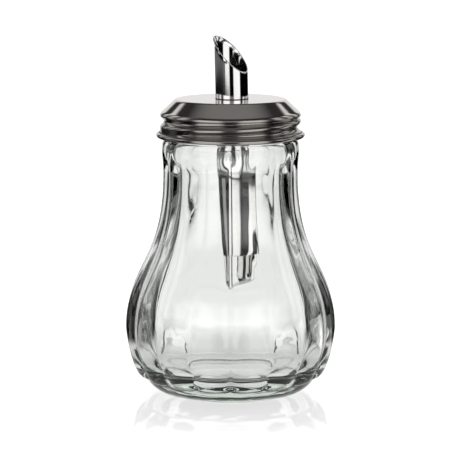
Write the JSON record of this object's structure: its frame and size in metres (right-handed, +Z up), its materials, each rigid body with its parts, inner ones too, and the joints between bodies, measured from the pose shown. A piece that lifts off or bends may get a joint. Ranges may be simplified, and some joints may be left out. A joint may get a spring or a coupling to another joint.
{
  "type": "sugar pourer",
  "caption": "Glass sugar pourer with a lobed pear-shaped jar, a screw-on steel lid and a dosing tube that pours a measured spoonful through its slanted spout.",
  "frame": {"origin": "centre of the foot on the table", "axes": "+Z up along the jar's axis; -Y is the front, where a valley between two lobes lies; the spout's tip points left and back"},
  "size_m": [0.0888, 0.0888, 0.1517],
  "materials": {
    "clear_glass": "clear pressed glass",
    "polished_steel": "polished stainless steel",
    "seal_rubber": "matte milky seal",
    "tube_steel": "polished stainless steel",
    "collar_steel": "plain pressed steel"
  },
  "bodies": {
    "jar": {"glass_jar": "clear_glass"},
    "seal": {"lid_seal": "seal_rubber"},
    "lid": {"lid_shell": "polished_steel", "dosing_tube": "tube_steel", "tube_collar": "collar_steel"}
  },
  "joints": [
    {"name": "lid_rise", "type": "slide", "parent": "jar", "child": "seal", "axis": [0, 0, 1], "range_m": [0, 0.00762]},
    {"name": "lid_turn", "type": "hinge", "parent": "seal", "child": "lid", "pos_m": [0, 0, 0.1196], "axis": [0, 0, 1], "range_deg": [0, 540]}
  ],
  "couplings": [
    {"joint": "lid_rise", "follows": "lid_turn", "m_per_rad": 0.0008085}
  ]
}
